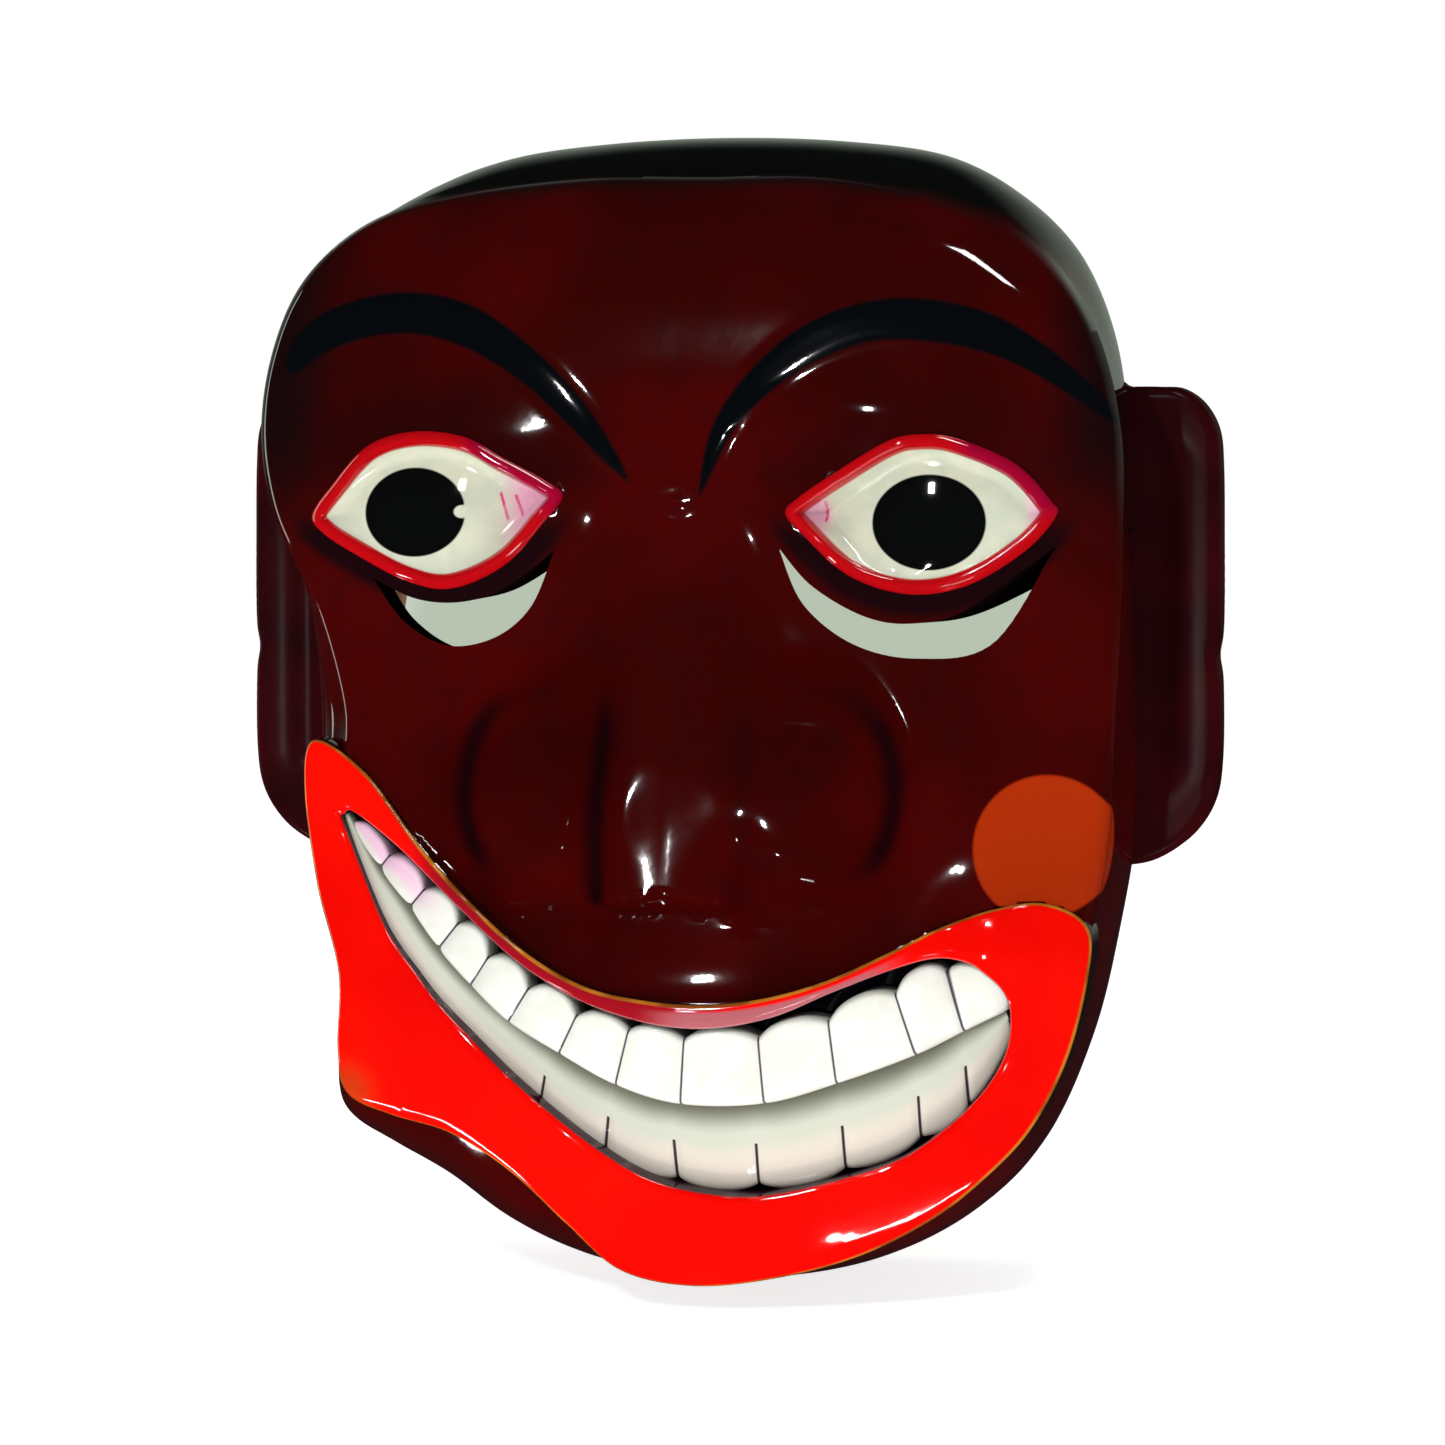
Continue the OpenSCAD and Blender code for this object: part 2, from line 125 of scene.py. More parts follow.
# Outer edge of the lips and edge of the mouth, anticlockwise from the left corner
lip_lines = np.array([
    [-79, -6, -71.5, -21.5], [-81, -18, -72, -22.5], [-78, -36, -68, -30.5],
    [-72, -54, -60.5, -44], [-72, -70, -53, -52.5], [-70, -79, -48, -58],
    [-60, -83, -41.5, -64], [-46, -86, -33, -72], [-33, -93, -23, -80],
    [-22, -103, -12.5, -87.5], [-11, -113, -3, -92.5], [4, -116, 7.5, -95],
    [21, -114, 19, -95.5], [38, -109, 33, -92.5], [53, -101, 46.5, -88], [64, -92, 56, -81.5],
    [73, -82, 63.5, -74], [80, -68, 68, -66], [84, -52, 69, -58], [84, -41, 67.5, -53.5],
    [76, -36, 64.5, -50.5], [66, -37, 60.5, -48], [55, -41, 54, -47.3], [45, -46, 45.7, -49.5],
    [33, -51.5, 34.5, -53.8], [21, -55, 22.5, -59], [9, -56.5, 9.4, -61.5], [-3, -56, -3.4, -60.6],
    [-16, -53.5, -17.3, -56.4], [-29, -47, -30.6, -49.2], [-42, -37, -43.8, -39],
    [-54, -26, -57, -28.6], [-67, -12, -69, -21]], float)
eye_lines = {
    "left": [[-78, 40.5], [-73, 47], [-65, 55], [-55, 58], [-44, 57], [-35.5, 52.7], [-26.5, 48],
             [-23.3, 45], [-27, 40], [-35.5, 31], [-47, 26], [-57, 27.5], [-68.5, 33], [-75, 36.7]],
    "right": [[22.8, 42], [25.5, 45], [33, 50], [43.5, 56.3], [50, 57.8], [57.5, 57], [69, 52],
              [76, 44.5], [77, 41.5], [71, 34.5], [59.5, 27.5], [47.5, 25.7], [35.5, 29.5], [26, 38]],
}
# Middle, half width and half height of each pupil
pupils = {"left": (-55.1, 41.5, 10.8, 9.1), "right": (51.7, 40.1, 11.6, 9.6)}
brow_lines = [
    [[-84, 76], [-75.5, 83], [-60, 86.5], [-44.5, 84], [-31, 75.5], [-20.5, 65.5], [-14, 56.5],
     [-9.5, 48], [-11.5, 49], [-17, 54], [-23, 60], [-33, 68.5], [-46, 75.5], [-59, 78],
     [-72.5, 75.5], [-84, 69.5]],
    [[4.5, 45.5], [7, 58.5], [14, 69.5], [24.5, 79], [36.5, 84], [49, 85], [63, 82], [75, 75],
     [87, 64], [88, 60], [77, 67], [65.5, 73], [53.5, 76], [41, 76.5], [31, 73.5], [21, 67.5],
     [12, 58.5], [6, 47]]]
# Depth of the nose's ridge every 10 mm upwards from 51 mm below the middle
nose_ridge = [94.9, 91.95, 89.15, 86.4, 84.2, 82.45, 80.7, 79.0, 77.4, 75.9, 74.8, 74.5]
ridge_low_z = -51
ridge_step = 10
# Depth of the face's middle line every 15 mm upwards from 120 mm below the middle
spine = [68, 78, 84, 86, 85, 82, 79, 77, 75, 74, 74, 74.5, 74.5, 73, 69, 61, 50]
spine_low_z = -120
spine_step = 15

face_edge = curve(walls[:, :2], 8)
back_rim = curve(walls[:, 2:], 8)
lip_edge = curve(lip_lines[:, :2], 8)
mouth_edge = curve(lip_lines[:, 2:], 8)
eye_edges = {side: curve(points, 8) for side, points in eye_lines.items()}
brow_edges = [curve(points, 6) for points in brow_lines]

# ---------------------------------------------------------------- heights ahead of the back rim


lip_ball_r = 160
lip_ball_z = -58
lip_ball_centre = 69    # how far the ball's centre lies behind the back rim

face_half_w = 88
brow_level_z = 10       # above it the face falls back as at the brows, and below it more
level_run = 60
nose_base_z = -39
nose_root_z = 59
nose_run = 76
column_x = -0.5
column_half_w = 15.5
crest_x = -3.5
groove_x = 15           # the grooves between the nose's column and its wings
wing_mid = (27, -15)
wing_half = (15.5, 20)
crease_at = 1.14        # where the crease runs round a wing, in half widths of the wing
nostril_mid = (23, -31)
nostril_h = 9.0
lid_mid = (51, 44)
lid_half = (33, 22)
lid_h = 4.0
brow_h = 0.5
# Soft mounds over the right eye, over the mouth, and on the right and the left cheek:
# height, middle in x and z, and reach in x and z
mounds = [(1.5, 38, 64, 20, 7), (3.0, 0, -55, 45, 13), (8.5, 71.5, -43, 17, 17),
          (2.0, -52, -22, 15, 14)]


def ball(x, z, behind=0.0):
    """Front of the ball that the lips lie on, or of one smaller by `behind`."""
    square = (lip_ball_r - behind) ** 2 - x * x - (z - lip_ball_z) ** 2
    return np.sqrt(np.maximum(square, 1)) - lip_ball_centre


def wing_place(x, z):
    """1 on the outline of a nostril wing, less within it."""
    return np.hypot((np.abs(x) - wing_mid[0]) / wing_half[0], (z - wing_mid[1]) / wing_half[1])


def crease_line(x, z, reach):
    """1 along the crease round each wing, fading to 0 at the reach and towards its ends."""
    line = np.exp(-((wing_place(x, z) - crease_at) / reach) ** 2)
    return line * smooth01((np.abs(x) - 18) / 10) * smooth01((z + 36) / 10)


def plain_depth(z):
    """Depth of the face's middle line without the nose."""
    return along(np.array(spine)[:, None], (z - spine_low_z) / spine_step)[..., 0]


def nose_relief(x, z):
    """How far the nose stands ahead of the plain face."""
    out = np.abs(x)
    under = smooth01((z - nose_base_z + 0.12 * out) / 5)
    climb = np.clip((nose_root_z - z) / nose_run, 0, 1)
    steps = np.clip((z - ridge_low_z) / ridge_step, 0, len(nose_ridge) - 1)
    ridge = along(np.array(nose_ridge)[:, None], steps)[..., 0]
    rise = np.where(z < nose_root_z, ridge - plain_depth(z), 0)
    # A small knot of paint at the root, which catches the light
    rise = rise + 0.7 * np.exp(-((z - 43.5) / 2) ** 2 - ((x - 0.5) / 4) ** 2)
    crest = 1.1 * ((x - crest_x) / 10) ** 2 * climb
    column = (rise - crest) * flat_top((x - column_x) / column_half_w, 6)
    from_nostril = (out - nostril_mid[0]) ** 2 + (z - nostril_mid[1]) ** 2
    wings = np.maximum(nostril_h - from_nostril / 100, 0) * flat_top(wing_place(x, z), 6)
    groove = np.where(x < 0, 3.0, 0.3) * np.exp(-((out - groove_x) / 3.6) ** 2)
    groove = groove * smooth01((12 - z) / 16)
    return under * (column + wings - groove) - 1.4 * crease_line(x, z, 0.20)


def face_relief(x, z):
    """Depth of the carved face without its sockets and the mouth."""
    low = smooth01((brow_level_z - z) / level_run)
    out = np.abs(x) / face_half_w
    fall = (3 * out ** 2 + 6.5 * out ** 4) * (1 - low) + 17 * out ** 2.2 * low
    depth = plain_depth(z) - fall + nose_relief(x, z)
    from_lid = np.hypot((np.abs(x) - lid_mid[0]) / lid_half[0], (z - lid_mid[1]) / lid_half[1])
    depth = depth + lid_h * flat_top(from_lid, 5)
    for height, mid_x, mid_z, reach_x, reach_z in mounds:
        depth = depth + height * np.exp(-((x - mid_x) / reach_x) ** 2 - ((z - mid_z) / reach_z) ** 2)
    return depth


def brow_relief(x, z):
    raised = np.zeros(x.shape)
    for edge in brow_edges:
        raised = np.maximum(raised, smooth01((inside(edge, x, z) + 2.0) / 4.0))
    return brow_h * raised


def lip_front(x, z):
    """Front of the lips: the ball, or a little ahead of the face where that stands further out."""
    a = ball(x, z)
    b = face_relief(x, z) + 1.0
    return 0.5 * (a + b + np.sqrt((a - b) ** 2 + 4))


def rounding(gap, radius, least=0.0):
    """How far a rounded edge falls back at a distance `gap` from its line."""
    turn = np.clip(radius - gap, 0, radius)
    return radius - np.sqrt(np.maximum(radius ** 2 - turn ** 2, least))


# ---------------------------------------------------------------- building blocks


def block(nx, ny, rings):
    """A closed block: a front grid, a back grid and the rings of its edge between them.

    Each vertex keeps its place on the grid in x and y, from -1 to 1, and its ring in -z.
    """
    bm = bmesh.new()
    bmesh.ops.create_grid(bm, x_segments=nx, y_segments=ny, size=1.0)
    for ring in range(1, rings + 1):
        edges = [e for e in bm.edges if e.is_boundary]
        new = bmesh.ops.extrude_edge_only(bm, edges=edges)["geom"]
        for v in new:
            if isinstance(v, bmesh.types.BMVert):
                v.co.z = -ring
    back = bmesh.ops.create_grid(bm, x_segments=nx, y_segments=ny, size=1.0)["verts"]
    for v in back:
        v.co.z = -rings
    bmesh.ops.remove_doubles(bm, verts=[v for v in bm.verts if round(v.co.z) == -rings], dist=1e-5)
    bmesh.ops.recalc_face_normals(bm, faces=bm.faces)
    return bm


def ring_block(around, rings):
    """A closed hoop: each vertex keeps its turn round the hoop in x, from 0, and its ring in z."""
    bm = bmesh.new()
    bmesh.ops.create_circle(bm, segments=around, radius=1.0)
    first = list(bm.edges)
    edges = first
    for ring in range(1, rings):
        geom = bmesh.ops.extrude_edge_only(bm, edges=edges)["geom"]
        edges = [e for e in geom if isinstance(e, bmesh.types.BMEdge)]
        for v in geom:
            if isinstance(v, bmesh.types.BMVert):
                v.co.z = ring
    bmesh.ops.bridge_loops(bm, edges=first + edges)
    bmesh.ops.recalc_face_normals(bm, faces=bm.faces)
    return bm


def coordinates(mesh):
    co = np.empty(len(mesh.vertices) * 3, np.float32)
    mesh.vertices.foreach_get("co", co)
    return co.reshape(-1, 3).astype(float)


def place(mesh, x, y, z):
    """Puts the vertices at x, y and z of the carving frame."""
    co = np.stack([x, y, z - hang], axis=1) * MM
    mesh.vertices.foreach_set("co", co.astype(np.float32).ravel())
    mesh.update()


def face_outwards(mesh):
    bm = bmesh.new()
    bm.from_mesh(mesh)
    bmesh.ops.recalc_face_normals(bm, faces=bm.faces)
    bm.to_mesh(mesh)
    bm.free()


def as_object(bm, name, materials):
    mesh = bpy.data.meshes.new(name)
    bm.to_mesh(mesh)
    bm.free()
    for m in materials:
        mesh.materials.append(m)
    o = bpy.data.objects.new(name, mesh)
    bpy.context.scene.collection.objects.link(o)
    return o


def finish_shape(o, angle=40):
    """Faces outwards, smooth but for edges sharper than the angle."""
    face_outwards(o.data)
    o.data.polygons.foreach_set("use_smooth", [True] * len(o.data.polygons))
    o.data.set_sharp_from_angle(angle=math.radians(angle))
    o.data.update()


def note(o, name, values):
    """A number for each vertex, for the paint to read."""
    layer = o.data.attributes.new(name, "FLOAT", "POINT")
    layer.data.foreach_set("value", np.asarray(values, np.float32))


def fit(outline, middle, s, t, half_w, half_h, bend=1.0):
    """Lays a grid from -1 to 1 over an outline that can be seen whole from its middle."""
    p = np.asarray(outline) - middle
    a = np.arctan2(p[:, 1], p[:, 0])
    order = np.argsort(a)
    a = a[order]
    r = np.hypot(p[:, 0], p[:, 1])[order]
    x = s * half_w
    z = t * half_h
    share = np.maximum(np.abs(s), np.abs(t))
    angle = np.arctan2(z, x)
    to_edge = np.interp(angle, np.r_[a - 2 * np.pi, a, a + 2 * np.pi], np.r_[r, r, r])
    to_box = np.hypot(x, z) / np.maximum(share, 1e-9)
    scale = 1 + (to_edge / np.maximum(to_box, 1e-9) - 1) * share ** bend
    return middle[0] + x * scale, middle[1] + z * scale


# ---------------------------------------------------------------- shader helpers


def linear(code):
    """An sRGB hex colour as linear RGBA."""
    values = [int(code[i:i + 2], 16) / 255 for i in (1, 3, 5)]
    return tuple(v / 12.92 if v <= 0.04045 else ((v + 0.055) / 1.055) ** 2.4 for v in values) + (1.0,)


def add(tree, kind, inputs=None, **settings):
    """One shader node with its settings. Inputs are values, or outputs of other nodes."""
    n = tree.nodes.new(kind)
    for key, value in settings.items():
        setattr(n, key, value)
    for key, value in (inputs or {}).items():
        if isinstance(value, bpy.types.NodeSocket):
            tree.links.new(value, n.inputs[key])
        else:
            n.inputs[key].default_value = value
    return n


def blotches(tree, size_mm, detail=2.0, stretch=(1, 1, 1)):
    """A soft pattern of blotches about size_mm across, from 0 to 1."""
    place_of = add(tree, "ShaderNodeTexCoord").outputs["Object"]
    scaled = add(tree, "ShaderNodeMapping", {"Vector": place_of, "Scale": stretch})
    pattern = {"Vector": scaled.outputs["Vector"], "Scale": 1000 / size_mm, "Detail": detail}
    return add(tree, "ShaderNodeTexNoise", pattern).outputs["Fac"]


def laid_over(tree, under, over, value, low, high, strength=1.0):
    """Lays a colour over another where a value passes from low to high.

    Each colour is a hex code or a colour output. The value is a noted number's name or an output.
    """
    if isinstance(value, str):
        value = add(tree, "ShaderNodeAttribute", attribute_name=value).outputs["Fac"]
    span = {"Value": value, "From Min": low, "From Max": high, "To Max": strength}
    share = add(tree, "ShaderNodeMapRange", span, interpolation_type="SMOOTHSTEP").outputs["Result"]
    a, b = (linear(c) if isinstance(c, str) else c for c in (under, over))
    return add(tree, "ShaderNodeMix", {0: share, 6: a, 7: b}, data_type="RGBA").outputs[2]


def material(name, colour, roughness=0.3, coat=1.0, coat_roughness=0.06, metal=0.0, bumps=(),
             under_gloss=0.0, glow=0.0, dull=None):
    """A painted or bare surface. `colour` builds the colour from the tree, or is a hex colour.

    `bumps` lists (size_mm, height_mm, stretch) of the unevenness of the surface.
    `dull` names the attribute that takes the gloss away, where old paint has filled the creases.
    """
    m = bpy.data.materials.new(name)
    m.use_nodes = True
    tree = m.node_tree
    tree.nodes.clear()
    base = linear(colour) if isinstance(colour, str) else colour(tree)
    normal = None
    for size_mm, height_mm, stretch in bumps:
        inputs = {"Height": blotches(tree, size_mm, 2.0, stretch), "Distance": height_mm * MM,
                  "Strength": 1.0}
        if normal:
            inputs["Normal"] = normal
        normal = add(tree, "ShaderNodeBump", inputs).outputs["Normal"]
    inputs = {"Base Color": base, "Roughness": roughness, "Metallic": metal,
              "Coat Weight": coat, "Coat Roughness": coat_roughness,
              "Specular IOR Level": under_gloss, "Emission Strength": glow}
    if normal:
        inputs["Normal"] = normal
        inputs["Coat Normal"] = normal
    if dull:
        dulled = add(tree, "ShaderNodeAttribute", attribute_name=dull).outputs["Fac"]
        span = {"Value": dulled, "From Max": 0.7, "To Min": coat, "To Max": 0.0}
        gloss = add(tree, "ShaderNodeMapRange", span, interpolation_type="SMOOTHSTEP")
        inputs["Coat Weight"] = gloss.outputs["Result"]
    shader = add(tree, "ShaderNodeBsdfPrincipled", inputs)
    out = add(tree, "ShaderNodeOutputMaterial", {"Surface": shader.outputs["BSDF"]})
    out.target = "ALL"
    return m


# ---------------------------------------------------------------- materials


def face_colour(tree):
    base = laid_over(tree, "#320302", "#420303", blotches(tree, 45), 0.35, 0.65)
    base = laid_over(tree, base, "#24060a", blotches(tree, 7, 3.0), 0.45, 0.8, 0.35)
    base = laid_over(tree, base, "#a62d08", "spot", -0.4, 0.4)
    # painted shade in the creases round the nose's wings and in the grooves beside its column
    base = laid_over(tree, base, "#140306", "crease", 0.0, 1.0)
    base = laid_over(tree, base, "#120607", "temple", 0.0, 1.0)
    # painted shade under each eye, and a little darker over each eye
    base = laid_over(tree, base, "#160508", "lid", 0.0, 1.0)
    base = laid_over(tree, base, "#05070a", "brow", -0.5, 0.5)
    base = laid_over(tree, base, "#080a08", "crown", -3.0, 2.0)
    return laid_over(tree, base, "#100716", "mouth", -0.5, 0.0)


def lip_colour(tree):
    red = laid_over(tree, "#e40602", "#f20c02", blotches(tree, 30), 0.3, 0.7)
    red = laid_over(tree, red, "#c23a12", "lobe", 0.0, 1.0)
    # painted shade: darker crimson on the upper lip's band, most towards the left
    red = laid_over(tree, red, "#8c1020", "upper", 0.0, 1.0)
    # painted reflection: a dusky pink sheen over the middle of the upper lip
    red = laid_over(tree, red, "#b06068", "lip_sheen", 0.0, 1.0)
    # painted shade on the lips' inner wall, where they go down into the mouth
    red = laid_over(tree, red, "#2a0a1c", "inner", 0.0, 1.0)
    gold = laid_over(tree, "#c47a24", "#8e4c18", blotches(tree, 12), 0.4, 0.6)
    red = laid_over(tree, red, gold, "rim", 0.8, 0.45)
    return laid_over(tree, red, "#1c0a08", "rim", 0.0, -0.3)


def upper_tooth_colour(tree):
    white = laid_over(tree, "#f0f1ea", "#e8eade", blotches(tree, 6), 0.35, 0.7)
    white = laid_over(tree, white, "#f3cbe3", "blush", 0.0, 1.0)
    return laid_over(tree, white, "#5a5460", "line", 0.34, 0.12)


def lower_tooth_colour(tree):
    # painted reflection of the red lips: greyish green near the top turning pinkish ivory towards the
    # foot
    white = laid_over(tree, "#d0d4c4", "#e6dccf", "down", 0.45, 0.7)
    # painted shadow of the upper row across the top of the lower row
    white = laid_over(tree, white, "#6c6e60", "down", 0.42, 0.10)
    return laid_over(tree, white, "#3c3438", "line", 0.42, 0.18)


def eye_colour(tree):
    white = laid_over(tree, "#d2d4be", "#c8ceba", blotches(tree, 5), 0.35, 0.65)
    white = laid_over(tree, white, "#e6a8c4", "blush", 0.0, 1.0)
    white = laid_over(tree, white, "#d8307c", "stroke", 0.45, 0.15)
    white = laid_over(tree, white, "#070808", "pupil", -0.2, 0.2)
    red = laid_over(tree, "#b00810", "#96052c", "crimson", 0.0, 1.0)
    return laid_over(tree, white, red, "rim", 3.3, 2.9)


def bare_wood_colour(tree):
    grain = blotches(tree, 5, 4.0, (1.0, 1.0, 0.08))
    pale = laid_over(tree, "#8a6038", "#b4885a", grain, 0.3, 0.7)
    return laid_over(tree, pale, "#6a4426", blotches(tree, 60), 0.45, 0.7)


def ear_colour(tree):
    return laid_over(tree, "#26060a", "#34060a", blotches(tree, 25), 0.35, 0.65)


uneven = [(26, 0.13, (1, 1, 1)), (3.2, 0.014, (1, 1, 1))]
# Dark red-brown lacquer, brushed on thick: deep colour under a wet-looking gloss
face_lacquer = material("face_lacquer", face_colour, 0.35, 1.0, 0.05, bumps=uneven, dull="dull")
# The same lacquer on the ears, thinner and duller
ear_lacquer = material("ear_lacquer", ear_colour, 0.35, 0.1, 0.22, bumps=uneven)
# Painted shade: near black on the cut walls of the viewing slits
slit_wall_shade = material("slit_wall_shade", "#100807", 0.6, 0.0, 0.2)
# Bright red enamel with a drawn gold edge: the loudest colour of the mask
lip_enamel = material("lip_enamel", lip_colour, 0.3, 1.0, 0.05, bumps=[(14, 0.10, (1, 1, 1)),
                                                                      (2.4, 0.008, (1, 1, 1))])
# White enamel, smooth and a little yellow, with thin drawn lines between the teeth
upper_enamel = material("upper_tooth_enamel", upper_tooth_colour, 0.35, 0.7, 0.08,
                        bumps=[(5, 0.03, (1, 1, 1))])
lower_enamel = material("lower_tooth_enamel", lower_tooth_colour, 0.35, 0.7, 0.08,
                        bumps=[(5, 0.03, (1, 1, 1))])
# Eye paint: ivory white, black pupil and red rim under one glossy coat
eye_enamel = material("eye_enamel", eye_colour, 0.3, 1.0, 0.03, bumps=[(4, 0.006, (1, 1, 1))])
# Bare light wood of the hollow and the pegs, with upright grain
bare_wood = material("bare_wood", bare_wood_colour, 0.75, 0.0, 0.5,
                     bumps=[(2.5, 0.12, (1, 1, 0.08))], under_gloss=0.35)
# Bright zinc-plated steel of the hanger
hanger_steel = material("hanger_steel", "#c4c6c8", 0.45, 0.0, 0.1, 1.0, under_gloss=0.5)

# ---------------------------------------------------------------- the face

front_cells = 200
last_ring = 12
front_half = (88, 112)
edge_r = 3.5            # rounding of the face's edge, and how much more at the top of the head
top_edge_r = 8.5
socket_d = 7
lips_cover = 4          # how far the wood lies behind the lips' front
mouth_d = 14
wall_swell = 3.2
hollow_half = (79, 88)
hollow_mid_z = -8
hollow_d = 63
hollow_fall = 0.0016
nose_room_d = 12
corner_power = 2.6
rim_share = 0.94        # the share of the back grid that makes the hollow, inside the flat rim

face = as_object(block(front_cells, front_cells, last_ring), "face",
                 [face_lacquer, bare_wood, slit_wall_shade])
grid = coordinates(face.data)
s, t, ring = grid[:, 0], grid[:, 1], np.round(-grid[:, 2])
share = np.maximum(np.abs(s), np.abs(t))
front_x, front_z = fit(face_edge, (0, 0), s, t, *front_half)
rim_x, rim_z = fit(back_rim, (0, 0), s, t, *front_half)

edge_gap = inside(face_edge, front_x, front_z)
in_lips = inside(lip_edge, front_x, front_z)
in_mouth = inside(mouth_edge, front_x, front_z)
in_eye = np.maximum(inside(eye_edges["left"], front_x, front_z),
                    inside(eye_edges["right"], front_x, front_z))
depth = face_relief(front_x, front_z) + brow_relief(front_x, front_z)
at_top = smooth01((front_z - 62) / 35) * smooth01((front_x + 85) / 50)
depth = depth - rounding(edge_gap, edge_r + top_edge_r * at_top, 0.02)
depth = depth - socket_d * smooth01((in_eye - 0.6) / 1.2)
under_lips = lip_front(front_x, front_z) - lips_cover
depth = np.where(in_lips > 0.6, np.minimum(depth, under_lips), depth)
depth = np.where(in_mouth > -0.8, ball(front_x, front_z, mouth_d), depth)

# The walls swell from the face's edge to the flat back rim
back = (ring / last_ring) ** 1.4
out = np.sqrt(1 - (1 - back) ** 2)
swell = wall_swell * np.sin(np.pi * back) / np.maximum(np.hypot(rim_x, rim_z), 1)
wall_x = front_x + (rim_x - front_x) * out + rim_x * swell
wall_z = front_z + (rim_z - front_z) * out + rim_z * swell
wall_y = -depth * (1 - back)

# The hollow: its floor runs from the rim inwards
angle = np.arctan2(rim_z - hollow_mid_z, rim_x)
reach = np.abs(np.cos(angle) / hollow_half[0]) ** corner_power
reach = (reach + np.abs(np.sin(angle) / hollow_half[1]) ** corner_power) ** (-1 / corner_power)
inward = np.clip(share / rim_share, 0, 1)
hollow_x = inward * reach * np.cos(angle)
hollow_z = hollow_mid_z + inward * reach * np.sin(angle)
nose_room = nose_room_d * np.exp(-(hollow_x / 20) ** 2 - ((hollow_z + 12) / 30) ** 2)
deep = hollow_d - hollow_fall * hollow_x ** 2 + nose_room
hollow_y = -deep * np.maximum(1 - inward ** 4, 0) ** 0.25
flat = np.clip((share - rim_share) / (1 - rim_share), 0, 1)
hollow_x = hollow_x + (rim_x - hollow_x) * flat
hollow_z = hollow_z + (rim_z - hollow_z) * flat

is_back = ring == last_ring
x = np.where(is_back, hollow_x, np.where(ring > 0, wall_x, front_x))
z = np.where(is_back, hollow_z, np.where(ring > 0, wall_z, front_z))
y = np.where(is_back, hollow_y, np.where(ring > 0, wall_y, -depth))
place(face.data, x, y, z)
for polygon in face.data.polygons:
    polygon.material_index = int(all(is_back[i] for i in polygon.vertices))
face_outwards(face.data)


def cutter(name, bm, mapping):
    """A tool for cutting: the mapping lays its grid out in the carving frame."""
    o = as_object(bm, name, [])
    place(o.data, *mapping(coordinates(o.data)))
    face_outwards(o.data)
    for polygon in o.data.polygons:
        polygon.material_index = 2
    return o


# Upper and lower line of each viewing slit, from left to right
slit_lines = {
    "left": ([[-62.5, 27], [-55, 23.8], [-47.5, 23], [-40, 24.3], [-33, 27.8], [-26.3, 32.5]],
             [[-62.5, 26.8], [-57, 19.8], [-48.5, 15.6], [-39, 17], [-31.5, 22.5], [-26.3, 32.2]]),
    "right": ([[22.8, 33], [29, 26.6], [39, 21.4], [48, 20.2], [58, 22.6], [73.5, 33]],
              [[22.8, 32.7], [27.5, 23.3], [37, 16.6], [49, 14.3], [62.5, 17], [73.5, 32.7]]),
}


def slit_map(side):
    """A slit that widens towards the hollow."""
    upper, lower = slit_lines[side]
    middle = (upper[0][0] + upper[-1][0]) / 2

    def mapping(g):
        u = (g[:, 0] + 1) / 2 * (len(upper) - 1)
        upwards = ((g[:, 1] + 1) / 2)[:, None]
        p = along(lower, u) * (1 - upwards) + along(upper, u) * upwards
        back = g[:, 2] < -0.5
        x = middle + (p[:, 0] - middle) * np.where(back, 1.8, 0.6)
        z = 23 + (p[:, 1] - 23) * np.where(back, 1.9, 0.7)
        return x, np.where(back, -20.0, -110.0), z
    return mapping


def box_map(low, high):
    def mapping(g):
        x = low[0] + (high[0] - low[0]) * (g[:, 0] + 1) / 2
        z = low[2] + (high[2] - low[2]) * (g[:, 1] + 1) / 2
        return x, np.where(g[:, 2] < -0.5, high[1], low[1]), z
    return mapping


def cord_hole():
    """A long round bar for the two cord holes."""
    bm = bmesh.new()
    bmesh.ops.create_cone(bm, cap_ends=True, segments=40, radius1=2.0, radius2=2.0, depth=240)
    return bm


def cut(target, tool):
    m = target.modifiers.new("cut", "BOOLEAN")
    m.operation = "DIFFERENCE"
    m.solver = "EXACT"
    m.object = tool
    graph = bpy.context.evaluated_depsgraph_get()
    mesh = bpy.data.meshes.new_from_object(target.evaluated_get(graph))
    target.modifiers.clear()
    old = target.data
    target.data = mesh
    bpy.data.meshes.remove(old)
    bpy.data.objects.remove(tool)


tools = [
    cutter("slit_left_tool", block(48, 2, 1), slit_map("left")),
    cutter("slit_right_tool", block(48, 2, 1), slit_map("right")),
    cutter("hanger_tool", block(1, 1, 1), box_map((-11, -6.5, 84), (11, 1, 111.5))),
    cutter("cord_tool", cord_hole(), lambda g: (g[:, 2], g[:, 0] - 7, g[:, 1] + 4)),
]
bpy.context.view_layer.update()
joined = bmesh.new()
for tool in tools:
    joined.from_mesh(tool.data)
    bpy.data.objects.remove(tool)
cut(face, as_object(joined, "face_tools", [face_lacquer, bare_wood, slit_wall_shade]))
face.data.name = "face"
finish_shape(face)

co = coordinates(face.data) / MM
x, y, z = co[:, 0], co[:, 1], co[:, 2] + hang
brow = np.maximum(inside(brow_edges[0], x, z), inside(brow_edges[1], x, z))
note(face, "brow", np.where(y < -30, brow, -9.0))
# The cheek spot fades a little way down the wall
down_wall = np.maximum(y + 62, 0)
note(face, "spot", 14.2 - np.sqrt((x - 75) ** 2 + (z + 25) ** 2 + down_wall ** 2))
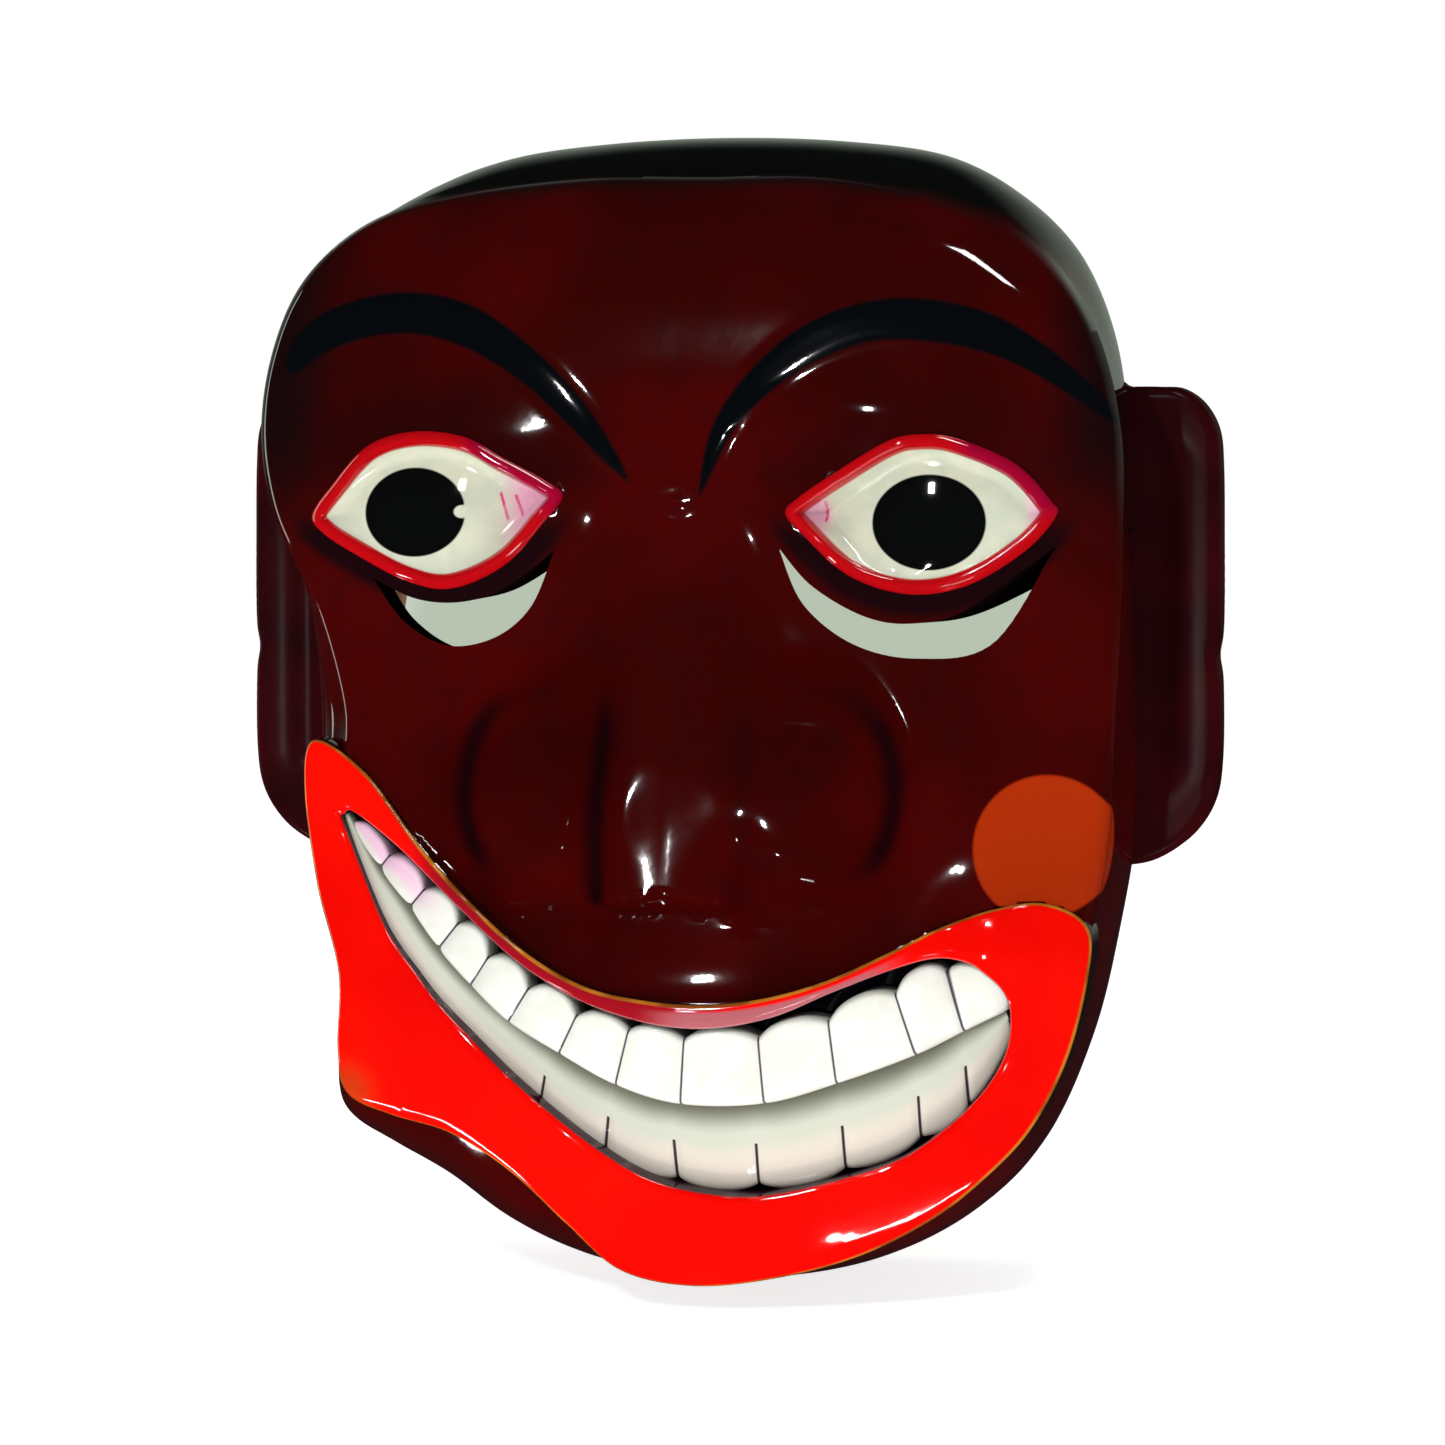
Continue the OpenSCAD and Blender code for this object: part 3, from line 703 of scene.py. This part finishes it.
# Painted shade: dark in the creases round the wings and in the grooves beside the nose's column
dark = crease_line(x, z, 0.16) * smooth01((12 - z) / 16)
beside = np.exp(-((np.abs(x) - groove_x) / 2.6) ** 2) * np.where(x < 0, 1, 0.4)
beside = beside * smooth01((10 - z) / 14) * smooth01((z + 40) / 4)
note(face, "crease", np.where(y < -60, 0.85 * np.maximum(dark, beside), 0))
# Old paint has filled the creases, so they don't shine
filled = np.exp(-((wing_place(x, z) - 1.16) / 0.34) ** 4) * smooth01((np.abs(x) - 17) / 6)
filled = filled * smooth01((z + 40) / 6)
left_groove = np.exp(-((x + 15.5) / 6.0) ** 4) * smooth01((16 - z) / 8)
right_groove = 0.8 * np.exp(-((x - 15) / 3.5) ** 4) * smooth01((2 - z) / 8) * (z < -28)
filled = np.maximum(filled, np.maximum(left_groove, right_groove))
note(face, "dull", np.where(y < -60, filled * (z > -44), 0))
# The black of the crown comes down over the top edge of the face
top_edge = np.interp(x, [-92, -82, -69, -50, -25, 0, 24, 47, 64, 77, 89],
                     [58, 91, 102, 108, 111, 111, 111, 107, 100, 88, 60])
band = np.interp(np.abs(x + 5), [0, 35, 62, 80], [2.0, 1.6, 0, -3])
note(face, "crown", z - top_edge + band)
note(face, "mouth", np.where(y < -60, inside(mouth_edge, x, z), -9.0))
note(face, "temple", smooth01((np.abs(x) - 66) / 20) * smooth01((z - 25) / 35) * 0.85)
# Painted shade in the band under each eye, where the lower lid faces down, and a little darker over
# each eye
lid_gap = np.maximum(inside(eye_edges["left"], x, z), inside(eye_edges["right"], x, z))
shade_under_eye = np.clip((lid_gap + 6) / 3, 0, 1) * np.clip((44 - z) / 8, 0, 1)
over_eye = 0.4 * smooth01((lid_gap + 16) / 12) * smooth01((z - 44) / 6)
note(face, "lid", np.maximum(shade_under_eye, over_eye) * (y < -40))

# ---------------------------------------------------------------- the lips

steps = 14
around = len(lip_lines) * steps
wall_rings = 3          # rings 0 to 2 climb the outer wall
front_rings = 16        # the next rings cross the lips, and the last ones go down into the mouth
mouth_rings = 3
lip_wall_d = 9
inner_d = 13.5

lips = as_object(ring_block(around, wall_rings + front_rings + mouth_rings), "lips", [lip_enamel])
g = coordinates(lips.data)
turn_at = (np.arctan2(g[:, 1], g[:, 0]) / (2 * np.pi)) % 1.0
turn_at = np.round(turn_at * around).astype(int) % around
outer = curve(lip_lines[:, :2], steps)[turn_at]
inner_line = curve(lip_lines[:, 2:], steps)[turn_at]
ring = np.round(g[:, 2]).astype(int)
width = np.hypot(*(inner_line - outer).T)
across = np.clip((ring - 2) / 17, 0, 1)
eased = across - np.sin(2 * np.pi * across) * 0.13
p = outer + (inner_line - outer) * eased[:, None]
x, z = p[:, 0], p[:, 1]
from_outer = eased * width
# The outer edge is rounder at the left lobe and below the chin
at_lobe = np.exp(-((outer[:, 0] + 56) / 17) ** 2 - ((outer[:, 1] + 85) / 14) ** 2)
at_chin = np.exp(-((outer[:, 0] - 22) / 34) ** 2 - ((outer[:, 1] + 112) / 14) ** 2)
outer_r = np.minimum(1.1 + 3.6 * at_lobe + 2.6 * at_chin, 0.6 * width)
inner_r = np.minimum(2.0, 0.5 * width)
depth = lip_front(x, z) - rounding(from_outer, outer_r) - rounding(width - from_outer, inner_r)
down = np.clip((wall_rings - ring) / wall_rings, 0, 1) * lip_wall_d
depth = depth - down
within = np.where(ring > 18, (ring - 18) / mouth_rings, 0)
depth = depth + (ball(x, z, inner_d) - depth) * within
place(lips.data, x, -depth, z)
finish_shape(lips, 50)
note(lips, "rim", np.where(ring < wall_rings, -down - 0.001, from_outer))
upper_band = smooth01((62 - np.abs(x - 2)) / 14) * (z > -64) * (inside(mouth_edge, x, z) < 1)
upper_band = upper_band * (width < 12)
# Painted shade: darker crimson on the upper lip's band, most towards the left
note(lips, "upper", 0.8 * upper_band * smooth01((24 - x) / 30))
# Painted reflection: a dusky pink sheen over the middle of the upper lip's band
lip_sheen = smooth01((30 - np.abs(x - 22)) / 16) * smooth01(from_outer - 1)
note(lips, "lip_sheen", upper_band * lip_sheen)
# Painted shade on the lips' inner wall, where they go down into the mouth
note(lips, "inner", np.where(ring > 17, 1.0, 0.0))
note(lips, "lobe", 0.9 * smooth01((12 - np.hypot(x + 70, (z + 78) * 1.2)) / 12))

# ---------------------------------------------------------------- the teeth

# Foot and top of each line between two upper teeth, from the left corner of the mouth
upper_lines = np.array([
    [-72.3, -22.8, -69, -23], [-64, -32.5, -61.5, -29.5], [-56.5, -40, -53, -36],
    [-49.5, -48, -45, -42.5], [-42, -55, -38, -49], [-33.5, -62, -29, -55],
    [-22.5, -68, -18.5, -60], [-10.5, -74, -7.5, -62.5], [3, -77.5, 4, -64],
    [20, -77, 19, -63.5], [34.5, -72.8, 33, -60], [50, -67, 46, -54.5],
    [59.5, -62.2, 56, -50], [66, -59, 68.6, -57.5]], float)
upper_arches = np.array([1.6, 2.6, 3.0, 3.2, 3.4, 3.6, 2.6, 2.2, 2.6, 2.8, 2.8, 2.4, 4.5])
# Top and foot of each line of the lower row
lower_lines = np.array([
    [-71, -21, -72.5, -22], [-64, -30.5, -68, -33.5], [-56.5, -38, -62, -43.8],
    [-49.5, -46, -55.5, -52.3], [-42, -53, -47, -61.3], [-33.5, -59.5, -37.3, -70.5],
    [-24, -65.5, -27.2, -79], [-11, -72, -13.5, -88], [1, -75.5, 1.5, -93], [18, -75.3, 18, -94],
    [35, -71, 35.5, -90.5], [50, -65.5, 50.5, -84], [59, -60, 60, -77.5],
    [67.5, -57.5, 69, -62]], float)
lower_arches = np.array([0, 0, 0, 0, 0, 0, 1.4, 1.6, 1.6, 1.6, 1.5, 1.2, 0.8])


def teeth_row(name, lines, arches, enamel, arch_side):
    """A row of teeth as one strip: lines run across it, arches round the gum side of each tooth.

    Gives the strip, the place of each vertex in x and z, how far it is through its tooth
    sideways and from the foot up, its distance to the lines and to the edges, the number of
    its tooth and how far back it lies.
    """
    count = len(arches)
    o = as_object(block(count * 14, 24, 3), name, [enamel])
    g = coordinates(o.data)
    u = (g[:, 0] + 1) / 2 * count
    v = (g[:, 1] + 1) / 2
    tooth = np.clip(np.floor(u), 0, count - 1).astype(int)
    f = u - tooth
    low = along(lines[:, :2], u)
    high = along(lines[:, 2:], u)
    arch = arches[tooth] * (1 - np.abs(2 * f - 1) ** 2.4)
    step = along(lines[:, 2:], np.minimum(u + 0.02, count)) - along(lines[:, 2:], u - 0.02)
    across = np.stack([-step[:, 1], step[:, 0]], 1) * arch_side
    across = across / np.maximum(np.hypot(*across.T), 1e-6)[:, None]
    top = high + across * arch[:, None]
    p = low + (top - low) * v[:, None]
    span = np.hypot(*(lines[tooth + 1, :2] - lines[tooth, :2]).T)
    to_line = np.minimum(f, 1 - f) * span
    to_edge = np.minimum(v, 1 - v) * np.hypot(*(top - low).T)
    return o, p[:, 0], p[:, 1], f, v, to_line, to_edge, tooth, -g[:, 2] / 3


tooth_edge_r = 1.2
tooth_bulge = 0.9
upper_behind = 4.0      # how far each row lies behind the lips' front
lower_behind = 6.0
upper_thick = 7.5
lower_thick = 5.0

upper_teeth, x, z, f, v, to_line, to_edge, tooth, back = teeth_row(
    "upper_teeth_row", upper_lines, upper_arches, upper_enamel, 1)
bulge = tooth_bulge * (1 - np.abs(2 * f - 1) ** 2.5) * smooth01(v * 5 + 0.3)
depth = lip_front(x, z) - upper_behind + bulge - 0.35 * smooth01((0.5 - to_line) / 0.5)
depth = depth - rounding(to_edge, tooth_edge_r) - upper_thick * back
place(upper_teeth.data, x, -depth, z)
finish_shape(upper_teeth, 60)
ends = (tooth == 0) & (f < 0.2) | (tooth == 12) & (f > 0.8)
note(upper_teeth, "line", np.where(ends | (back > 0.1), 3.0, to_line))
note(upper_teeth, "blush", smooth01((-44 - x) / 16) * smooth01((v - 0.1) / 0.6))

lower_teeth, x, z, f, v, to_line, to_edge, tooth, back = teeth_row(
    "lower_teeth_row", lower_lines, lower_arches, lower_enamel, -1)
# The row is carved smooth at the left and cut into teeth from the middle of the sixth on
lined = (tooth > 5) & (v > 0.1) | (tooth == 5) & (f > 0.5)
groove = np.where(lined, 0.5 * smooth01((0.6 - to_line) / 0.6), 0) * smooth01((v - 0.45) / 0.2)
depth = lip_front(x, z) - lower_behind + tooth_bulge * np.sin(np.pi * v) - groove
depth = depth - 0.5 * rounding(to_edge, tooth_edge_r) + 2.2 * smooth01((-30 - x) / 25)
depth = depth - lower_thick * back
place(lower_teeth.data, x, -depth, z)
finish_shape(lower_teeth, 60)
note(lower_teeth, "line", np.where(lined & (v > 0.5) & (back < 0.1), to_line, 3.0))
# How far down the row, for the painted shadow at its top and the painted pink reflection at its foot
note(lower_teeth, "down", v)

# ---------------------------------------------------------------- the eyes

dome_r = 62
eye_rim_wide = 3.2
eye_rim_high = 0.9
eye_thick = 8.5
eyes = {}
for side, apex in (("left", (-50.7, 33.0)), ("right", (52.2, 33.0))):
    edge = eye_edges[side]
    middle = (-51.0, 41.5) if side == "left" else (50.5, 41.5)
    o = as_object(block(110, 70, 3), "eye_" + side + "_dome", [eye_enamel])
    g = coordinates(o.data)
    x, z = fit(edge, middle, g[:, 0], g[:, 1], 27, 15, 0.6)
    gap = inside(edge, x, z)
    level = -g[:, 2] / 3
    base = face_relief(x, z) + 0.6
    rim = eye_rim_high * np.sin(np.pi * np.clip(gap / eye_rim_wide, 0, 1)) ** 0.8
    dome_mid = face_relief(np.array([float(middle[0])]), np.array([32.0]))[0] + 0.4
    dome = dome_mid - ((x - apex[0]) ** 2 + (z - apex[1]) ** 2) / (2 * dome_r)
    inward = smooth01((gap - 1.8) / 4.0)
    depth = base * (1 - inward) + dome * inward + rim - 0.5 * smooth01((gap - 2.2) / 1.0)
    depth = depth - eye_thick * level
    place(o.data, x, -depth, z)
    finish_shape(o, 60)
    cx, cz, half_w, half_h = pupils[side]
    note(o, "rim", gap)
    pupil_gap = (1 - np.hypot((x - cx) / half_w, (z - cz) / half_h)) * 0.5 * (half_w + half_h)
    if side == "left":
        notch = np.hypot(x + 45.0, (z - 41.7) * 1.3)
        pupil_gap = np.minimum(pupil_gap, notch - 1.7)
        strokes = [((-37.2, 45.5), (-35.6, 40.2)), ((-34.2, 45), (-32.6, 41))]
        blush = smooth01((x + 40) / 9)
    else:
        strokes = [((30.6, 44.2), (30.4, 40.2))]
        blush = np.maximum(smooth01((33.5 - x) / 5), smooth01((x - 69) / 5))
    note(o, "pupil", pupil_gap)
    nearest = np.full(x.shape, 9.0)
    for a, b in strokes:
        ax, az = a
        dx, dz = b[0] - ax, b[1] - az
        w = np.clip(((x - ax) * dx + (z - az) * dz) / (dx * dx + dz * dz), 0, 1)
        nearest = np.minimum(nearest, np.hypot(x - ax - w * dx, z - az - w * dz))
    note(o, "stroke", nearest)
    note(o, "blush", 0.8 * blush)
    note(o, "crimson", smooth01((x - (middle[0] + 4)) / 8) * smooth01((z - 38) / 8))
    eyes[side] = o

# ---------------------------------------------------------------- the ears

ear_line = [[81.2, -32.8], [86, -33], [92, -31.5], [98.5, -27], [103, -20], [104.5, -11],
            [104.5, 5], [103.8, 11], [104.5, 17], [104.5, 35], [104.3, 50], [103.5, 58],
            [100.5, 63.5], [96, 66.6], [91, 67], [85, 67], [81.2, 66.5], [81, 40], [81, 0]]
ear_front = 26          # depths of the slab's two faces, and the rounding of their edges
ear_rear = 14
ear_edge_r = 2.0
ears = {}
for side, sign in (("left", -1), ("right", 1)):
    o = as_object(block(30, 100, 6), "ear_" + side + "_slab", [ear_lacquer])
    g = coordinates(o.data)
    x, z = fit(curve(ear_line, 8), (93, 17), g[:, 0], g[:, 1], 12, 50, 0.7)
    gap = inside(curve(ear_line, 8), x, z)
    level = -g[:, 2] / 6
    near = np.clip((z + 11) / 62, 0, 1) * 62 - 11
    groove = np.hypot(x - 92, z - near)
    soft = rounding(gap, ear_edge_r)
    front = ear_front - soft - 1.3 * np.exp(-(groove / 4.5) ** 2)
    rear = ear_rear + soft
    depth = front + (rear - front) * level
    place(o.data, sign * x, -depth, z)
    finish_shape(o, 60)
    ears[side] = o

# ---------------------------------------------------------------- what each piece stands for

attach(face, "mask")
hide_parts("face_shell")
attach(lips, "mask")
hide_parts("face_shell")
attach(upper_teeth, "mask")
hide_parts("upper_teeth")
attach(lower_teeth, "mask")
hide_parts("lower_teeth")
for side in ("left", "right"):
    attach(eyes[side], "mask")
    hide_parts("eye_" + side)
    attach(ears[side], "mask")
    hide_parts("ear_" + side)

for name, finish in (("hanger_strap", hanger_steel), ("hanger_ring", hanger_steel),
                     ("hanger_screw", hanger_steel), ("ear_pegs_left", bare_wood),
                     ("ear_pegs_right", bare_wood)):
    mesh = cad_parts[name].data
    mesh.materials.clear()
    mesh.materials.append(finish)

# ---------------------------------------------------------------- stage, light and camera

low, high = cad_box
floor_material = material("pale_floor", "#f4f4f2", 0.9, 0.0, 0.5, glow=0.8)
bm = bmesh.new()
bmesh.ops.create_grid(bm, x_segments=1, y_segments=1, size=1.5)
floor = as_object(bm, "floor", [floor_material])
floor.data.transform(Matrix.Translation((0, 0, low[2] - 0.0005)))
floor.visible_glossy = False
floor.visible_shadow = False

scene = bpy.context.scene
scene.view_settings.view_transform = "Standard"
world = bpy.data.worlds.new("studio")
scene.world = world
world.use_nodes = True
tree = world.node_tree
tree.nodes.clear()
path = add(tree, "ShaderNodeLightPath")
direction = add(tree, "ShaderNodeTexCoord").outputs["Generated"]
parts = add(tree, "ShaderNodeSeparateXYZ", {0: direction})
# What the gloss mirrors is nearly black, with a paler room behind the mask
dark_room = (0.008, 0.008, 0.010, 1)
mirrored = laid_over(tree, dark_room, (0.26, 0.30, 0.25, 1), parts.outputs["Y"], 0.1, 0.8)
mirrored = laid_over(tree, dark_room, mirrored, parts.outputs["Z"], 0.62, 0.25)
mirrored = laid_over(tree, dark_room, mirrored, parts.outputs["Z"], -0.12, 0.06)
soft_fill = laid_over(tree, (0.28, 0.28, 0.28, 1), mirrored, path.outputs["Is Glossy Ray"], 0, 1)
# Straight behind the mask the backdrop falls into soft shade, which shows through the slits
facing = add(tree, "ShaderNodeVectorMath", {0: direction, 1: (-0.207, 0.976, -0.070)},
             operation="DOT_PRODUCT").outputs["Value"]
backdrop = laid_over(tree, "#ffffff", "#b8c3b1", facing, 0.9972, 0.9984)
seen = laid_over(tree, soft_fill, backdrop, path.outputs["Is Camera Ray"], 0, 1)
background = add(tree, "ShaderNodeBackground", {"Color": seen, "Strength": 1.0})
add(tree, "ShaderNodeOutputWorld", {"Surface": background.outputs[0]})

middle = Vector((0, -0.04, -hang * MM))


lamp_target = Vector((0, -80, -hang)) * MM


def lamp(name, azimuth, elevation, distance, size, power, tint="#ffffff"):
    """A soft lamp. Azimuth 0 is straight ahead of the face and 90 the viewer's right."""
    a, e = math.radians(azimuth), math.radians(elevation)
    data = bpy.data.lights.new(name, "AREA")
    data.shape = "RECTANGLE"
    data.size = size[0]
    data.size_y = size[1]
    data.energy = power
    data.color = linear(tint)[:3]
    o = bpy.data.objects.new(name, data)
    scene.collection.objects.link(o)
    way = Vector((math.sin(a) * math.cos(e), -math.cos(a) * math.cos(e), math.sin(e)))
    o.location = lamp_target + way * distance
    o.rotation_euler = way.to_track_quat("Z", "Y").to_euler()


lamp("front_lamp", -8, 26, 1.2, (0.04, 0.08), 4.4)
lamp("eye_lamp", -8, -4, 1.3, (0.03, 0.03), 0.9)
lamp("upper_right_lamp", 44, 67, 1.1, (0.10, 0.35), 3.2)
lamp("left_edge_lamp", -104, 8, 1.0, (0.15, 0.8), 1.6, "#dfe8dc")
lamp("low_lamp", 28, -50, 0.9, (0.24, 0.02), 1.0)
lamp("low_left_lamp", -78, -46, 0.9, (0.2, 0.05), 1.0)

azimuth, elevation = math.radians(12), math.radians(4)
camera_distance = 1.1
back_way = Vector((math.sin(azimuth) * math.cos(elevation), -math.cos(azimuth) * math.cos(elevation),
                   math.sin(elevation)))
right_way = Vector((math.cos(azimuth), math.sin(azimuth), 0))
up_way = back_way.cross(right_way)
aim = middle + right_way * 0.00194 - up_way * 0.00325
view = bpy.data.cameras.new("camera")
view.lens = 130.7
view.sensor_width = 36
camera = bpy.data.objects.new("camera", view)
scene.collection.objects.link(camera)
camera.location = aim + back_way * camera_distance
camera.rotation_euler = back_way.to_track_quat("Z", "Y").to_euler()
scene.camera = camera
